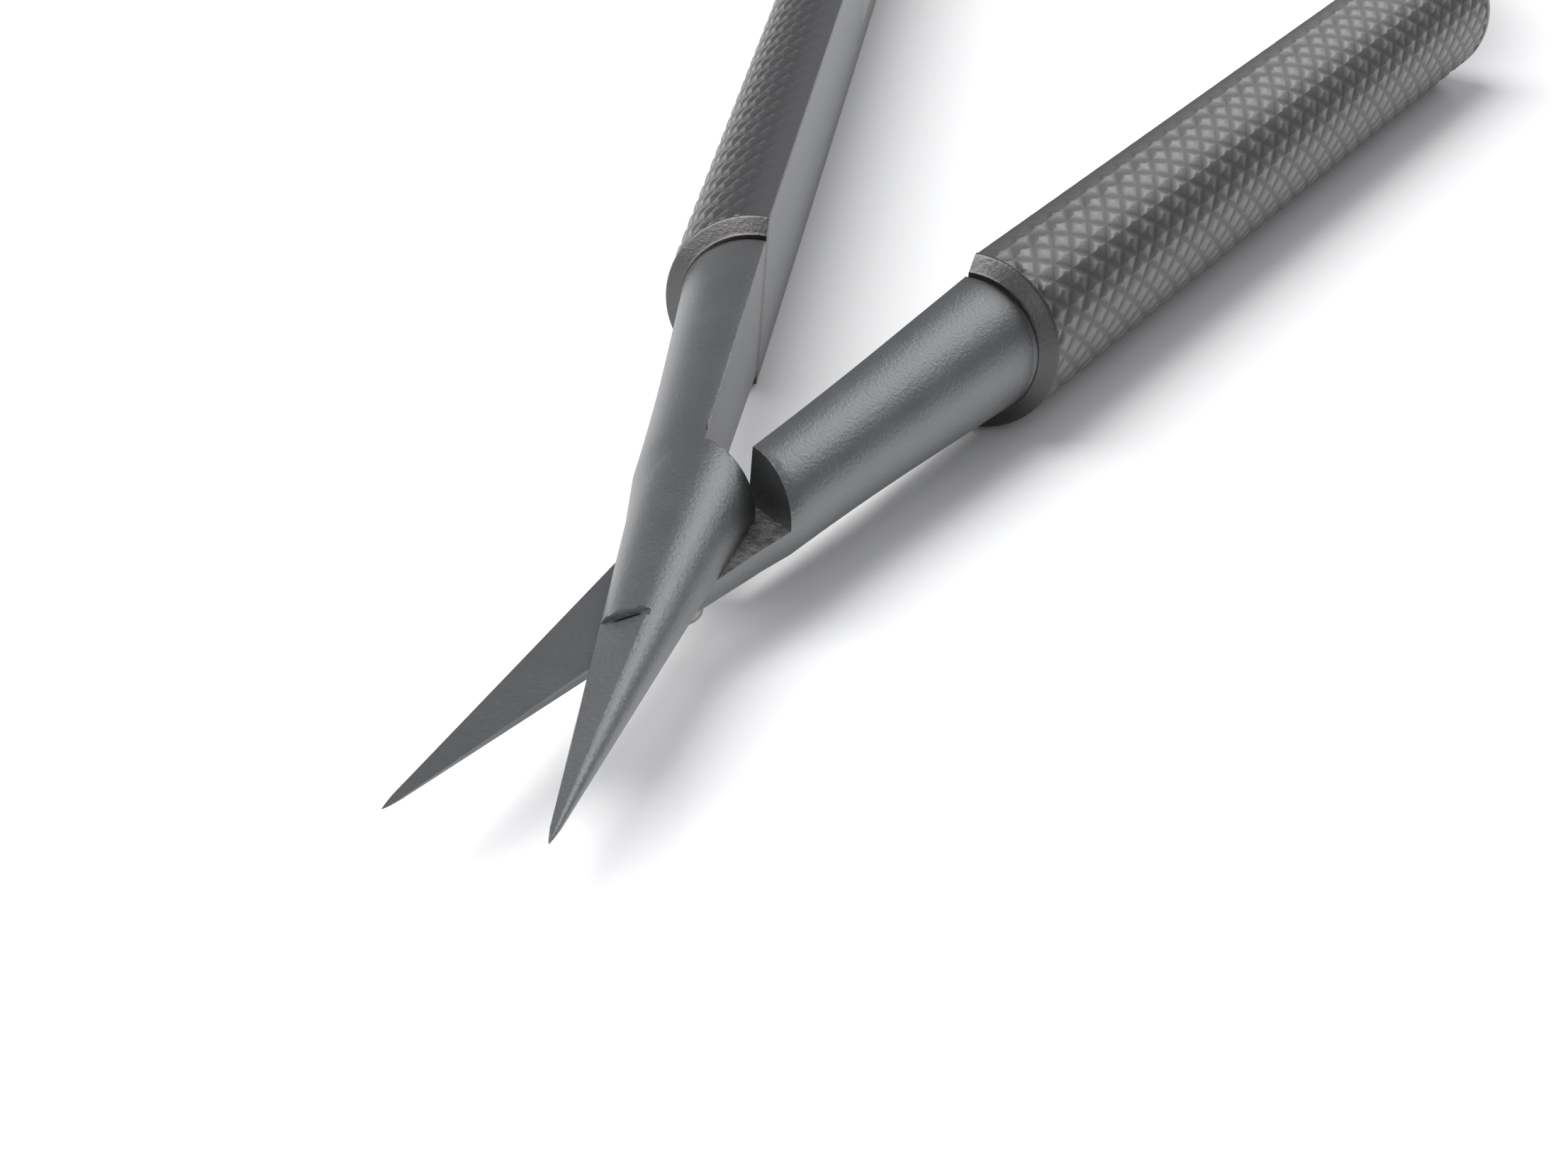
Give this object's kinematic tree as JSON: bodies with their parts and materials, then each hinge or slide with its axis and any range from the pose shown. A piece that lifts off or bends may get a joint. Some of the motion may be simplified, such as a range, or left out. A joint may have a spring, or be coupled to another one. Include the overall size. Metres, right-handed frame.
{
  "type": "spring scissors",
  "caption": "Round-handled spring scissors for fine work: two half-round knurled arms on a pivot, straight pointed blades, leaf springs joined at the tail.",
  "frame": {"origin": "on the pivot axis, at the outer face of the pivot screw's head on the underside", "axes": "+X from the pivot along the middle between the two handles, +Z along the pivot axis towards the upper arm"},
  "size_m": [0.1603, 0.0394, 0.008],
  "materials": {
    "satin_steel": "satin, fine-blasted stainless steel",
    "spring_steel": "brushed along its length",
    "polished_steel": "turned and polished"
  },
  "bodies": {
    "lower_arm": {"lower_arm": "satin_steel", "lower_spring_rivets": "polished_steel"},
    "upper_arm": {"upper_arm": "satin_steel", "pivot_screw": "polished_steel", "upper_spring_rivets": "polished_steel"},
    "lower_leaf": {"lower_leaf_spring": "spring_steel", "tail_pin": "polished_steel"},
    "upper_leaf": {"upper_leaf_spring": "spring_steel"}
  },
  "joints": [
    {"name": "blade_pivot", "type": "hinge", "parent": "lower_arm", "child": "upper_arm", "pos_m": [0, 0, 0], "axis": [0, 0, 1], "range_deg": [-15.4, 0], "stiffness_Nm_per_rad": 0.15},
    {"name": "lower_leaf_bend", "type": "hinge", "parent": "lower_arm", "child": "lower_leaf", "pos_m": [0.09715, -0.01746, 0.00191], "axis": [0, 0, 1], "range_deg": [-26, 0], "deforming": ["lower_leaf_spring"]},
    {"name": "upper_leaf_bend", "type": "hinge", "parent": "upper_arm", "child": "upper_leaf", "pos_m": [0.09715, 0.01746, 0.00191], "axis": [0, 0, 1], "range_deg": [0, 26], "deforming": ["upper_leaf_spring"]}
  ],
  "couplings": [
    {"joint": "lower_leaf_bend", "follows": "blade_pivot", "ratio": 1.6691},
    {"joint": "upper_leaf_bend", "follows": "blade_pivot", "ratio": -1.6691}
  ]
}
